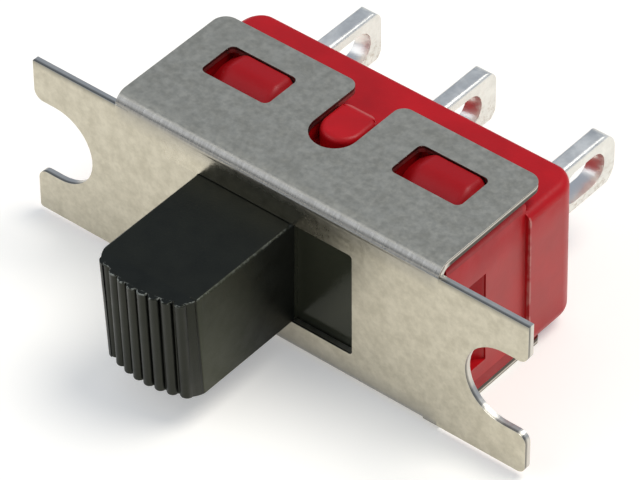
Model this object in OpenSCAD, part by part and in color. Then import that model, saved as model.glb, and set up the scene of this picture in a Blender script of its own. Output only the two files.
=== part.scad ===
// Miniature slide switch with a folded sheet-metal bracket, a ribbed thumb knob and three solder terminals.
// X runs along the bracket, +Y from the panel face to the terminals, +Z up.
// The origin is the middle of the bracket's width and height, on the face that seats against the panel.

/* [Bracket] */
// Width of the channel along X
bracket_w = 12.70; // [12.5:0.05:15.3]
// Height over the two side plates
bracket_h = 6.65; // [6.65:0.05:8]
// Depth of the side plates from the panel face
plate_depth = 5.20; // [5.1:0.05:5.4]
// Sheet thickness
sheet_t = 0.25; // [0.2:0.01:0.3]
// Outer radius of the two bends
bend_r = 0.50; // [0.4:0.05:0.6]
// Overall length over the two ears
ear_span = 19.50; // [19.2:0.1:23.5]
// Height of the ears
ear_h = 6.00; // [5:0.02:6.1]
// How far the ears and the slot sit below mid height
front_drop = 0.06; // [0:0.01:0.1]
// Distance between the centres of the two ear notches
notch_spacing = 17.78; // [17.3:0.02:18]
// Width of each ear notch
notch_w = 2.95; // [2:0.05:3.2]
// Length of the slot that the knob travels in
slot_w = 6.13; // [5.4:0.01:6.2]
// Height of the slot
slot_h = 4.06; // [4.05:0.01:4.2]

/* [Snap windows] */
// Distance of each window's centre from mid length
window_x = 3.76; // [3.5:0.02:4.2]
// Distance of each window's centre behind the panel face
window_y = 3.36; // [3.2:0.02:3.5]
// Window length along X
window_w = 2.68; // [2.2:0.02:3]
// Window length along Y
window_d = 1.57; // [1.3:0.01:1.7]
// Width of the U notch in the rear edge of each side plate
u_notch_w = 1.64; // [1.5:0.02:1.9]
// Distance of the U notch's closed end behind the panel face
u_notch_y = 2.13; // [1.9:0.01:2.3]

/* [Knob] */
// Knob width along X
knob_w = 3.80; // [3.7:0.05:4.6]
// Knob height
knob_h = 4.00; // [3.6:0.05:4]
// How far the knob's crest stands in front of the panel face
knob_reach = 5.27; // [4.4:0.01:6.4]
// Radius of the knob's front
crest_r = 3.70; // [3:0.1:6]
// Radius of the knob's two front corners
corner_r = 1.20; // [0.9:0.05:1.3]
// Distance between finger grooves
groove_pitch = 0.405; // [0.35:0.005:0.42]
// Depth of a finger groove
groove_depth = 0.11; // [0.05:0.01:0.14]
// Lean of the knob's front away from the upper edge, in degrees
draft_deg = 3.4; // [0:0.1:4]
// Inward lean of each side of the knob over its height
side_draft = 0.06; // [0:0.01:0.1]
// Gap between the knob and the slot's end
end_gap = 0.015; // [0.015:0.005:0.05]

/* [Case] */
// How far each end of the case's front part lies inside the bracket's end, at mid height
case_inset = 0.03; // [0.03:0.01:0.2]
// How far each end of the case's rear flange stands beyond the bracket's end, at mid height
flange_proud = 0.16; // [0:0.01:0.18]
// Distance of the case's rear face behind the panel face
case_back = 6.83; // [6.5:0.01:7.2]
// Distance of the step between the case's front part and its rear flange
case_step = 4.36; // [4.3:0.02:4.6]
// How far the rear flange lies below the case's front part
rear_drop = 0.54; // [0.2:0.02:0.6]
// Radius of the flange's upright rear corners
case_corner_r = 0.78; // [0.4:0.02:1]
// Radius along the upper edges of the case's ends
end_edge_r = 0.36; // [0.1:0.02:0.5]
// Radius along the flange's lower edges
flange_low_r = 0.54; // [0.2:0.02:0.6]
// Outward lean of the case's ends towards the lower side, in degrees
case_lean = 0.9; // [0:0.1:0.9]

/* [Terminals] */
// Distance between terminals
pitch = 4.70; // [3.9:0.01:4.9]
// Thickness of a terminal blade
blade_t = 0.64; // [0.5:0.01:0.7]
// Width of a terminal blade
blade_w = 2.06; // [1.8:0.02:2.2]
// Distance of the terminal tips behind the panel face
blade_tip = 10.65; // [8.9:0.01:12.8]
// Height of the solder slot in a blade
eye_h = 1.24; // [0.9:0.02:1.3]
// Length of the solder slot in a blade
eye_w = 2.10; // [1.4:0.05:2.3]

/* [Contact] */
// Lean of the rocking contact at either end of its travel, in degrees
rocker_deg = 5.5; // [4:0.1:5.5]
// Thickness of the rocking contact
rocker_t = 0.30; // [0.2:0.01:0.32]
// Diameter of the plunger that presses on the rocking contact
plunger_d = 1.80; // [1.4:0.05:1.9]
// Wire diameter of the plunger's spring
wire_d = 0.22; // [0.16:0.01:0.26]
// Turns of the plunger's spring
turns = 6; // [4:1:8]

/* [Hidden] */
$fn = 64;
eps = 0.02;

metal_col = [0.60, 0.60, 0.57];
red_col = [0.72, 0.12, 0.14];
dark_col = [0.14, 0.14, 0.14];
silver_col = [0.80, 0.81, 0.78];

half_h = bracket_h / 2;
inner_z = half_h - sheet_t;
front_z = -front_drop;
travel = slot_w - knob_w - 2 * end_gap;
knob_x = -travel / 2;
knob_top = front_z + knob_h / 2;
edge_r = 0.10;

base_front = sheet_t + 0.04;
base_back = 1.50;
base_w = slot_w + travel + 0.27;
base_h = 4.76;
boss_back = 2.60;
bore_front = -3.2;
bore_r = plunger_d / 2 + 0.04;

case_front = sheet_t + 0.25;
case_z = inner_z - 0.035;
case_rear_top = case_z - rear_drop;
case_w = bracket_w - 2 * case_inset;
flange_w = bracket_w + 2 * flange_proud;
case_floor = 5.20;
bay_back = 1.75;
bay_w = base_w + travel + 0.3;
bay_h = base_h + 0.14;
cavity_w = case_w - 1.4;
cavity_h = 3.4;

fulcrum_y = 4.00;
rest_back = fulcrum_y + (pitch + blade_t / 2) * tan(rocker_deg) + 0.015;
plunger_tip = fulcrum_y - rocker_t - 0.05;
plunger_back = 1.90;

// ---------- shared shapes ----------

module rounded_rect(w, h, r) {
    union() {
        square([w - 2 * r, h], center = true);
        square([w, h - 2 * r], center = true);
        for (i = [-1, 1])
            for (j = [-1, 1])
                translate([i * (w / 2 - r), j * (h / 2 - r)])
                    circle(r = r);
    }
}

// Material outside a rounded corner at the origin, with the corner's flesh towards -x, -y
module corner_waste(r) {
    difference() {
        translate([-r, -r])
            square([r + 1, r + 1]);
        translate([-r, -r])
            circle(r = r);
        translate([-r - 1, -r - 1])
            square([r + 2, 1]);
        translate([-r - 1, -r - 1])
            square([1, r + 2]);
    }
}

// A profile drawn in X and Z, standing from y0 to y1
module along_y(y0, y1) {
    translate([0, y1, 0])
        rotate([90, 0, 0])
            linear_extrude(height = y1 - y0)
                children();
}

// A profile drawn in Y and Z, running from x0 to x1
module along_x(x0, x1) {
    translate([x0, 0, 0])
        rotate([90, 0, 90])
            linear_extrude(height = x1 - x0)
                children();
}

module box(x0, x1, y0, y1, z0, z1) {
    translate([x0, y0, z0])
        cube([x1 - x0, y1 - y0, z1 - z0]);
}

// ---------- bracket ----------

// Section through the folded sheet, in Y and Z
module channel_section() {
    difference() {
        union() {
            translate([bend_r, -half_h])
                square([plate_depth - bend_r, bracket_h]);
            translate([0, -half_h + bend_r])
                square([bend_r + eps, bracket_h - 2 * bend_r]);
            for (s = [-1, 1])
                translate([bend_r, s * (half_h - bend_r)])
                    circle(r = bend_r);
        }
        translate([bend_r, -inner_z])
            square([plate_depth, 2 * inner_z]);
        translate([sheet_t, -half_h + bend_r])
            square([bend_r, bracket_h - 2 * bend_r]);
        for (s = [-1, 1])
            translate([bend_r, s * (half_h - bend_r)])
                circle(r = bend_r - sheet_t);
    }
}

// One ear, in X and Z, on the +X side; outer is the radius of its lower outer corner
module ear_profile(outer) {
    difference() {
        translate([bracket_w / 2 - 0.5, front_z - ear_h / 2])
            square([ear_span / 2 - bracket_w / 2 + 0.5, ear_h]);
        translate([notch_spacing / 2, front_z + 0.03])
            circle(d = notch_w);
        translate([notch_spacing / 2, front_z + 0.03 - notch_w / 2])
            square([ear_span, notch_w]);
        for (s = [-1, 1])
            translate([ear_span / 2, front_z + 0.03 + s * notch_w / 2])
                scale([1, -s])
                    corner_waste(0.35);
        translate([ear_span / 2, front_z - ear_h / 2])
            scale([1, -1])
                corner_waste(outer);
    }
}

// Everything that is cut out of a side plate, in X and Y; outer is the radius of its rear corners
module side_cuts(outer) {
    for (s = [-1, 1])
        translate([s * window_x, window_y])
            rounded_rect(window_w, window_d, 0.22);
    translate([0, u_notch_y + u_notch_w / 2])
        circle(d = u_notch_w);
    translate([-u_notch_w / 2, u_notch_y + u_notch_w / 2])
        square([u_notch_w, plate_depth]);
    for (s = [-1, 1]) {
        translate([s * u_notch_w / 2, plate_depth])
            scale([-s, 1])
                corner_waste(0.4);
        translate([s * bracket_w / 2, plate_depth])
            scale([s, 1])
                corner_waste(outer);
    }
}

module bracket() {
    color(metal_col)
        difference() {
            union() {
                along_x(-bracket_w / 2, bracket_w / 2)
                    channel_section();
                along_y(0, sheet_t)
                    ear_profile(0.3);
                along_y(0, sheet_t)
                    scale([-1, 1])
                        ear_profile(0.1);
            }
            along_y(-1, 1)
                translate([0, front_z])
                    rounded_rect(slot_w, slot_h, edge_r + 0.04);
            linear_extrude(height = half_h + 1)
                side_cuts(0.5);
            translate([0, 0, -half_h - 1])
                linear_extrude(height = half_h + 1)
                    side_cuts(0.15);
        }
}

// ---------- slide ----------

// The knob's outline from above, in X and Y, about its own middle
module knob_profile() {
    corner_y = -knob_reach + 1.27;
    crest_y = -knob_reach + crest_r;
    difference() {
        union() {
            translate([-knob_w / 2, corner_y])
                square([knob_w, -corner_y + 2]);
            intersection() {
                union() {
                    translate([-knob_w / 2 + corner_r, -knob_reach - 1])
                        square([knob_w - 2 * corner_r, knob_reach]);
                    for (s = [-1, 1])
                        translate([s * (knob_w / 2 - corner_r), corner_y])
                            circle(r = corner_r);
                }
                translate([0, crest_y])
                    circle(r = crest_r, $fn = 128);
            }
        }
        difference() {
            translate([-3.5 * groove_pitch, -knob_reach - 1])
                square([7 * groove_pitch, 2]);
            translate([0, crest_y])
                circle(r = crest_r - groove_depth, $fn = 128);
        }
    }
    ridge_r = 0.24;
    for (i = [-3.5:1:3.5]) {
        x = i * groove_pitch;
        set_back = abs(i) > 3 ? 0.012 : 0;
        y = crest_y - sqrt(pow(crest_r - ridge_r, 2) - x * x) + set_back;
        translate([x, y])
            circle(r = ridge_r, $fn = 32);
    }
}

module knob() {
    intersection() {
        translate([knob_x, -knob_reach, knob_top])
            rotate([draft_deg, 0, 0])
                translate([0, knob_reach, -knob_h - 1])
                    linear_extrude(height = knob_h + 2)
                        knob_profile();
        along_y(-knob_reach - 1, base_front + 0.4)
            translate([knob_x, front_z])
                rounded_rect(knob_w, knob_h, edge_r);
        along_y(-knob_reach - 2, base_front + 0.6)
            translate([knob_x, knob_top])
                polygon([
                    [-knob_w / 2 - 0.015, 1],
                    [-knob_w / 2 + side_draft, -knob_h],
                    [-knob_w / 2 + side_draft, -knob_h - 1],
                    [knob_w / 2 - side_draft, -knob_h - 1],
                    [knob_w / 2 - side_draft, -knob_h],
                    [knob_w / 2 + 0.015, 1],
                ]);
    }
}

module slide() {
    color(dark_col)
        difference() {
            union() {
                knob();
                along_y(base_front, base_back)
                    translate([knob_x, 0])
                        rounded_rect(base_w, base_h, 0.3);
                along_y(base_back - eps, boss_back)
                    translate([knob_x, 0])
                        circle(r = bore_r + 0.45);
            }
            along_y(bore_front, boss_back + 1)
                translate([knob_x, 0])
                    circle(r = bore_r);
        }
}

// ---------- case ----------

// A snap boss on the case's upper side: flat at the rear, ramped towards the front and at its ends
module snap_boss(x) {
    top = half_h - 0.03;
    ridge_y = window_y + 0.22;
    rear_y = window_y + window_d / 2 - 0.04;
    ramp_y = window_y - window_d / 2 + 0.22;
    half_w = window_w / 2 - 0.08;
    intersection() {
        along_x(x - half_w, x + half_w)
            polygon([
                [ramp_y, case_z - 0.3],
                [ramp_y, case_z + 0.02],
                [ridge_y, top],
                [rear_y, top],
                [rear_y, case_z - 0.3],
            ]);
        along_y(case_front, case_step + 1)
            polygon([
                [x - half_w, case_z - 0.4],
                [x - half_w, case_z - 0.1],
                [x - half_w + 0.34, top + 0.01],
                [x + half_w - 0.10, top + 0.01],
                [x + half_w, case_z - 0.1],
                [x + half_w, case_z - 0.4],
            ]);
    }
}

// The tongue that lies in the U notch of a side plate
module notch_tongue() {
    r = 0.68;
    rear_r = 0.30;
    front_y = u_notch_y + 0.72 + r;
    rear_y = case_step - 0.03;
    translate([-0.06, 0, case_z - 0.3])
        linear_extrude(height = half_h - 0.12 - case_z + 0.3)
            difference() {
                union() {
                    translate([0, front_y])
                        circle(r = r);
                    translate([-r, front_y])
                        square([2 * r, rear_y - front_y]);
                }
                for (s = [-1, 1])
                    translate([s * r, rear_y])
                        scale([s, 1])
                            corner_waste(rear_r);
            }
}

// Where a leaning end face stands at height z, for a body of width w at mid height
function end_x(w, z) = w / 2 - z * tan(case_lean);

// Keeps what lies inside one end face of the flange
module flange_limit() {
    w = flange_w;
    r = case_corner_r;
    translate([w / 2, 0, 0])
        rotate([0, -case_lean, 0])
            translate([0, 0, -half_h - 1])
                linear_extrude(height = bracket_h + 2) {
                    translate([-w - 1, 0])
                        square([w + 1, case_back - r]);
                    translate([-w - 1, 0])
                        square([w + 1 - r, case_back + 1]);
                    translate([-r, case_back - r])
                        circle(r = r);
                }
}

// Waste outside the rounded edges of both ends at height z; side is 1 for upper edges, -1 for lower ones
module end_edge_waste(w, y0, y1, z, r, side) {
    along_y(y0, y1)
        for (s = [-1, 1])
            translate([s * (end_x(w, z - side * r) + 0.004), z])
                scale([s, side])
                    corner_waste(r);
}

// The flange's side view, in Y and Z, with its rear edges rounded
module flange_section() {
    upper = 0.15;
    lower = flange_low_r;
    z0 = -case_z;
    z1 = case_rear_top;
    union() {
        translate([case_step, z0])
            square([case_back - case_step - lower, z1 - z0]);
        translate([case_step, z0 + lower])
            square([case_back - case_step, z1 - z0 - lower - upper]);
        translate([case_back - lower - eps, z1 - upper - eps])
            square([lower - upper + eps, upper + eps]);
        translate([case_back - lower, z0 + lower])
            circle(r = lower);
        translate([case_back - upper, z1 - upper])
            circle(r = upper);
    }
}

module flange() {
    difference() {
        intersection() {
            along_x(-flange_w, flange_w)
                flange_section();
            flange_limit();
            mirror([1, 0, 0])
                flange_limit();
        }
        end_edge_waste(flange_w, case_step - 1, case_back + 1, case_rear_top, end_edge_r, 1);
        end_edge_waste(flange_w, case_step - 1, case_back + 1, -case_z, flange_low_r, -1);
    }
}

module front_block() {
    difference() {
        along_y(case_front, case_step + eps)
            polygon([
                [-end_x(case_w, case_z), case_z],
                [-end_x(case_w, -case_z), -case_z],
                [end_x(case_w, -case_z), -case_z],
                [end_x(case_w, case_z), case_z],
            ]);
        end_edge_waste(case_w, case_front - 1, case_step + 1, case_z, end_edge_r, 1);
    }
}

// The moulded recess in an end face
module end_recess(s) {
    x = s * case_w / 2;
    along_x(min(x + s, x - s * 0.42), max(x + s, x - s * 0.42))
        translate([1.40, -2.05])
            square([1.02, 3.48]);
}

module case() {
    color(red_col)
        difference() {
            union() {
                front_block();
                flange();
                for (m = [0, 1])
                    mirror([0, 0, m]) {
                        snap_boss(-window_x);
                        snap_boss(window_x);
                        notch_tongue();
                    }
            }
            for (s = [-1, 1])
                end_recess(s);
            box(-bay_w / 2, bay_w / 2, 0, bay_back, -bay_h / 2, bay_h / 2);
            box(-cavity_w / 2, cavity_w / 2, 0, case_floor, -cavity_h / 2, cavity_h / 2);
            for (i = [-1, 0, 1])
                box(
                    i * pitch - blade_t / 2 - 0.005, i * pitch + blade_t / 2 + 0.005,
                    case_floor - 1, case_back + 1,
                    -blade_w / 2 - 0.005, blade_w / 2 + 0.005
                );
        }
}

// ---------- terminals ----------

// One blade's side view, in Y and Z; nose is the radius of the outer corners
module blade_profile(inner, nose, eye_end) {
    difference() {
        union() {
            translate([inner, -blade_w / 2])
                square([blade_tip - nose - inner, blade_w]);
            translate([inner, -blade_w / 2 + nose])
                square([blade_tip - inner, blade_w - 2 * nose]);
            for (s = [-1, 1])
                translate([blade_tip - nose, s * (blade_w / 2 - nose)])
                    circle(r = nose);
        }
        for (y = [eye_end - eye_w + eye_h / 2, eye_end - eye_h / 2])
            translate([y, 0])
                circle(d = eye_h);
        translate([eye_end - eye_w + eye_h / 2, -eye_h / 2])
            square([eye_w - eye_h, eye_h]);
    }
}

// A blade with its long edges rounded, as a stamping is on its punch side
module blade(x, inner, nose, eye_end) {
    translate([x, 0, 0])
        intersection() {
            along_x(-blade_t / 2, blade_t / 2)
                blade_profile(inner, nose, eye_end);
            along_y(inner - 1, blade_tip + 1)
                rounded_rect(blade_t, blade_w, 0.14);
        }
}

module terminal_left() {
    color(silver_col)
        blade(-pitch, rest_back, 0.5, blade_tip - 0.53);
}

module terminal_right() {
    color(silver_col)
        blade(pitch, rest_back, 0.5, blade_tip - 0.53);
}

// The centre blade also carries the rounded edge that the rocking contact tips on
module terminal_centre() {
    color(silver_col)
        union() {
            blade(0, fulcrum_y + blade_t / 2 + 0.02, 0.55, blade_tip - 0.75);
            translate([0, fulcrum_y + blade_t / 2 + 0.02, -blade_w / 2 + 0.14])
                cylinder(d = blade_t, h = blade_w - 0.28);
        }
}

// ---------- contact ----------

module rocker_contact() {
    half_w = pitch + 0.45;
    color(silver_col)
        translate([0, fulcrum_y, 0])
            rotate([0, 0, -rocker_deg])
                translate([0, 0, -1.3])
                    linear_extrude(height = 2.6) {
                        translate([-half_w + rocker_t / 2, -rocker_t])
                            square([2 * half_w - rocker_t, rocker_t]);
                        for (s = [-1, 1])
                            translate([s * (half_w - rocker_t / 2), -rocker_t / 2])
                                circle(d = rocker_t);
                    }
}

module contact_plunger() {
    r = plunger_d / 2;
    color(silver_col)
        translate([knob_x, 0, 0]) {
            along_y(plunger_back, plunger_tip - r)
                circle(r = r);
            translate([0, plunger_tip - r, 0])
                sphere(r = r);
        }
}

// Points of one ring of the spring's wire, at angle a and distance y
function ring(a, y, r) = [
    for (k = [0:5])
        [
            (r + wire_d / 2 * cos(60 * k)) * cos(a),
            y + wire_d / 2 * sin(60 * k),
            (r + wire_d / 2 * cos(60 * k)) * sin(a),
        ]
];

module contact_spring() {
    steps = turns * 16;
    r = plunger_d / 2 - wire_d / 2 - 0.08;
    y0 = bore_front + wire_d / 2;
    y1 = plunger_back - wire_d / 2;
    pts = [
        for (i = [0:steps])
            each ring(i * 22.5, y0 + (y1 - y0) * i / steps, r)
    ];
    sides = [
        for (i = [0:steps - 1])
            for (k = [0:5])
                [6 * i + k, 6 * i + (k + 1) % 6, 6 * i + 6 + (k + 1) % 6, 6 * i + 6 + k]
    ];
    ends = [
        [5, 4, 3, 2, 1, 0],
        [for (k = [0:5]) 6 * steps + k],
    ];
    color(silver_col)
        translate([knob_x, 0, 0])
            polyhedron(points = pts, faces = concat(sides, ends), convexity = 6);
}

bracket();
slide();
case();
terminal_left();
terminal_centre();
terminal_right();
rocker_contact();
contact_plunger();
contact_spring();
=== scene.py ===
import math

import bmesh
import bpy
from mathutils import Matrix, Vector


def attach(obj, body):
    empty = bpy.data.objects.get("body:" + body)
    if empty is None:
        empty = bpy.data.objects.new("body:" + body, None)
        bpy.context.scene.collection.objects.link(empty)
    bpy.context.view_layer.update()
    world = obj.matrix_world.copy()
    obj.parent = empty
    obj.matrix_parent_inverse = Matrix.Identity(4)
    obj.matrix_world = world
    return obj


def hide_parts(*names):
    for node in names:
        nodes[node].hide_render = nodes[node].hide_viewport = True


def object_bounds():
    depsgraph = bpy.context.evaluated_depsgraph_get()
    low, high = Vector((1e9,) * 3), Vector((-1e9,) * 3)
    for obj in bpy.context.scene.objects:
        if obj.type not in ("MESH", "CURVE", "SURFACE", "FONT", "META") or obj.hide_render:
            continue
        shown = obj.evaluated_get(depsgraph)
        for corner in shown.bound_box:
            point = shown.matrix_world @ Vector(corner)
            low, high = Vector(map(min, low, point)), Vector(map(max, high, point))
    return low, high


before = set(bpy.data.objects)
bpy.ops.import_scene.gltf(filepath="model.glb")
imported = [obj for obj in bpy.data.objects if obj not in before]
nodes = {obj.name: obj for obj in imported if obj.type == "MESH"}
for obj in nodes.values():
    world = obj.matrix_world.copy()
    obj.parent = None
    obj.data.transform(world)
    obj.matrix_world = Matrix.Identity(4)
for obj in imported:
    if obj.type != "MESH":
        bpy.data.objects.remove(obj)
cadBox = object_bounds()
mm = 0.001
colourMix = {"data_type": "RGBA"}
product = {"operation": "MULTIPLY"}

print("stage: helpers")


def hexColour(code):
    # sRGB hex to linear
    parts = [int(code[i:i + 2], 16) / 255 for i in (1, 3, 5)]
    return [c / 12.92 if c <= 0.04045 else ((c + 0.055) / 1.055) ** 2.4 for c in parts] + [1.0]


def addNode(tree, kind, settings=None, inputs=None):
    # one node with its settings; inputs go by name or number, each a plain value, a socket or a whole node
    node = tree.nodes.new(kind)
    for name, value in (settings or {}).items():
        setattr(node, name, value)
    for key, value in (inputs or {}).items():
        if isinstance(value, bpy.types.Node):
            value = value.outputs[0]
        if isinstance(value, bpy.types.NodeSocket):
            tree.links.new(value, node.inputs[key])
        else:
            node.inputs[key].default_value = value
    return node


def newMaterial(name):
    material = bpy.data.materials.new(name)
    material.use_nodes = True
    tree = material.node_tree
    tree.nodes.clear()
    shader = addNode(tree, "ShaderNodeBsdfPrincipled")
    addNode(tree, "ShaderNodeOutputMaterial", {}, {"Surface": shader})
    where = addNode(tree, "ShaderNodeTexCoord").outputs["Object"]
    return material, tree, shader, where


def layOut(tree, look, spreads, lengths, shares):
    # the parts of a look that the tables in its dictionary describe, each found by its name afterwards:
    # patterns: cloudy noise as (spread, grain size in mm, detail, roughness)
    # zones: how much of a tone a place takes, as (source, from, to, share there, share here, curve)
    # limits: 1 where they hold and 0 elsewhere, as (source, comparison, value in mm)
    # meetings: the names whose shares are multiplied
    # a zone's from and to are in mm where its source is a length
    found = {**lengths, **shares}
    for name, (spread, size, detail, roughness) in look["patterns"].items():
        found[name] = addNode(tree, "ShaderNodeTexNoise", {}, {
            "Vector": spreads[spread], "Scale": 1 / (size * mm), "Detail": detail, "Roughness": roughness})
    for name, (source, start, end, first, last, curve) in look["zones"].items():
        unit = mm if source in lengths else 1.0
        found[name] = addNode(tree, "ShaderNodeMapRange", {"interpolation_type": curve}, {
            0: found[source], 1: start * unit, 2: end * unit, 3: first, 4: last})
    for name, (source, comparison, value) in look["limits"].items():
        found[name] = addNode(tree, "ShaderNodeMath", {"operation": comparison}, {
            0: found[source], 1: value * mm})
    for name, (first, *others) in look["meetings"].items():
        found[name] = found[first]
        for other in others:
            found[name] = addNode(tree, "ShaderNodeMath", product, {0: found[name], 1: found[other]})
    return found


def makePlain(piece):
    # modifiers are worked into the mesh, then removed
    bpy.context.view_layer.update()
    shaped = piece.evaluated_get(bpy.context.evaluated_depsgraph_get())
    mesh = bpy.data.meshes.new_from_object(shaped)
    old = piece.data
    piece.modifiers.clear()
    piece.data = mesh
    mesh.name = piece.name
    bpy.data.meshes.remove(old)
    return piece


def outwardMesh(bm, name):
    # the finished mesh, with its faces turned outwards
    bmesh.ops.recalc_face_normals(bm, faces=bm.faces)
    mesh = bpy.data.meshes.new(name)
    bm.to_mesh(mesh)
    bm.free()
    return mesh


def newPiece(name, mesh, material):
    mesh.materials.clear()
    mesh.materials.append(material)
    piece = bpy.data.objects.new(name, mesh)
    bpy.context.scene.collection.objects.link(piece)
    return piece


def mergedCopy(nodeName, pieceName, material):
    # a CAD node's mesh with its loose triangles joined into flat faces
    bm = bmesh.new()
    bm.from_mesh(nodes[nodeName].data)
    bmesh.ops.remove_doubles(bm, verts=bm.verts, dist=1e-6)
    bmesh.ops.dissolve_limit(bm, angle_limit=math.radians(0.5), verts=bm.verts, edges=bm.edges)
    return newPiece(pieceName, outwardMesh(bm, pieceName), material)


def ringSolid(name, rings):
    # a closed solid skinned over rings of points in mm
    bm = bmesh.new()
    made = [[bm.verts.new((x * mm, y * mm, z * mm)) for x, y, z in ring] for ring in rings]
    count = len(made[0])
    for lower, upper in zip(made, made[1:]):
        for i in range(count):
            bm.faces.new((lower[i], lower[(i + 1) % count], upper[(i + 1) % count], upper[i]))
    bm.faces.new(list(reversed(made[0])))
    bm.faces.new(made[-1])
    return outwardMesh(bm, name)


def prism(name, outline, levels):
    # a closed solid from a plan outline in mm; each level is (z, shift in y, shift in x)
    return ringSolid(name, [[(x + dx, y + dy, z) for x, y in outline] for z, dy, dx in levels])


def combine(piece, tool, operation):
    # a boolean with a helper solid, which is then thrown away
    modifier = piece.modifiers.new(operation.lower(), "BOOLEAN")
    modifier.operation = operation
    modifier.solver = "EXACT"
    modifier.object = tool
    makePlain(piece)
    mesh = tool.data
    bpy.data.objects.remove(tool)
    bpy.data.meshes.remove(mesh)
    return piece


def soften(piece, widthMm, shareOf, segments=3, angle=32):
    # rounds sharp edges; shareOf gives an edge's share of the full width from the edge and its middle in mm
    bm = bmesh.new()
    bm.from_mesh(piece.data)
    bmesh.ops.remove_doubles(bm, verts=bm.verts, dist=1e-6)
    layer = bm.edges.layers.float.new("bevel_weight_edge")
    limit = math.radians(angle)
    for face in bm.faces:
        face.smooth = True
    for edge in bm.edges:
        turn = edge.calc_face_angle(0.0) if len(edge.link_faces) == 2 else 0.0
        middle = (edge.verts[0].co + edge.verts[1].co) / 2 / mm
        edge[layer] = shareOf(edge, middle) if turn > limit else 0.0
    bm.to_mesh(piece.data)
    bm.free()
    bevel = piece.modifiers.new("edgeSoftening", "BEVEL")
    bevel.limit_method = "WEIGHT"
    bevel.width = widthMm * mm
    bevel.segments = segments
    bevel.harden_normals = True
    bevel.use_clamp_overlap = True
    return makePlain(piece)


def evenly(edge, middle):
    return 1.0


def settleNormals(piece, angle=32):
    # crisp where faces meet sharply, even on the broad faces
    mesh = piece.data
    bm = bmesh.new()
    bm.from_mesh(mesh)
    bmesh.ops.remove_doubles(bm, verts=bm.verts, dist=2e-7)
    for face in bm.faces:
        face.smooth = True
    for edge in bm.edges:
        edge.smooth = len(edge.link_faces) != 2 or edge.calc_face_angle(0.0) < math.radians(angle)
    bm.to_mesh(mesh)
    bm.free()
    weighted = piece.modifiers.new("evenNormals", "WEIGHTED_NORMAL")
    weighted.keep_sharp = True
    weighted.weight = 80
    return makePlain(piece)


def markFaces(mesh, name, holds):
    # 1 on the faces for which holds is true and 0 on the rest, for a material to read
    values = [1.0 if holds(face) else 0.0 for face in mesh.polygons]
    mesh.attributes.new(name, "FLOAT", "FACE").data.foreach_set("value", values)


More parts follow.
